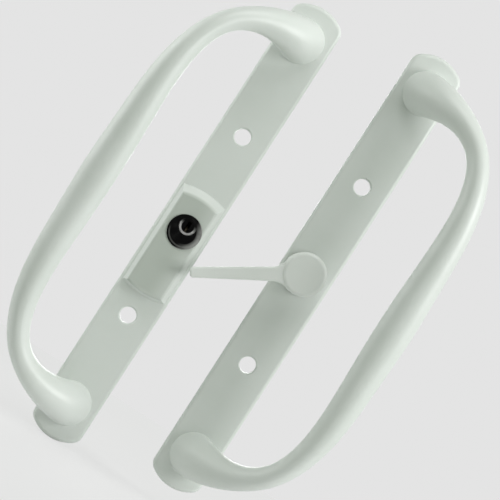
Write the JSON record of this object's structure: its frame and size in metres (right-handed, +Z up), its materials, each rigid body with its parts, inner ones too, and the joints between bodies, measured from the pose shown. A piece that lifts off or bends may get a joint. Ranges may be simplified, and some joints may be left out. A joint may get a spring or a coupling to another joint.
{
  "type": "sliding patio door handle set",
  "caption": "Offset bow pull handles for a sliding patio door: outside half with a key lock on a raised pad, inside half with a thumb lever, on long cover plates.",
  "frame": {"origin": "midway between the outside half's screw holes, on the plane of the plate backs", "axes": "+Z up along the plates, fronts facing -Y, +X across from the outside half to the inside half"},
  "size_m": [0.1699, 0.093, 0.251],
  "materials": {
    "white_coat": "satin",
    "black_lock": "gloss",
    "black_plug": "gloss",
    "brass_strip": "satin",
    "brass_pin": "polished",
    "spring_steel": "satin",
    "zinc_steel": "zinc plated",
    "nylon": "matt"
  },
  "bodies": {
    "handle_set": {"exterior_handle": "white_coat", "lock_cylinder": "black_lock", "chamber_cover": "brass_strip", "cylinder_clip": "spring_steel", "driver_pin_1": "brass_pin", "driver_pin_2": "brass_pin", "driver_pin_3": "brass_pin", "driver_pin_4": "brass_pin", "driver_pin_5": "brass_pin", "driver_spring_1": "spring_steel", "driver_spring_2": "spring_steel", "driver_spring_3": "spring_steel", "driver_spring_4": "spring_steel", "driver_spring_5": "spring_steel", "interior_handle": "white_coat", "lever_bush": "nylon", "spring_washer": "spring_steel"},
    "key_plug": {"key_plug": "black_plug", "plug_clip": "spring_steel", "key_tail": "zinc_steel", "key_tail_pin": "zinc_steel", "key_pin_1": "brass_pin", "key_pin_2": "brass_pin", "key_pin_3": "brass_pin", "key_pin_4": "brass_pin", "key_pin_5": "brass_pin"},
    "thumb_lever": {"thumb_lever": "white_coat", "lever_ring": "spring_steel", "lever_tail": "zinc_steel", "lever_tail_pin": "zinc_steel"}
  },
  "joints": [
    {"name": "key_turn", "type": "hinge", "parent": "handle_set", "child": "key_plug", "pos_m": [0.0011, 0, 0.0005], "axis": [0, -1, 0], "range_deg": [-90, 90]},
    {"name": "lever_turn", "type": "hinge", "parent": "handle_set", "child": "thumb_lever", "pos_m": [0.0592, 0, 0.0113], "axis": [0, -1, 0], "range_deg": [-75, 15]}
  ]
}
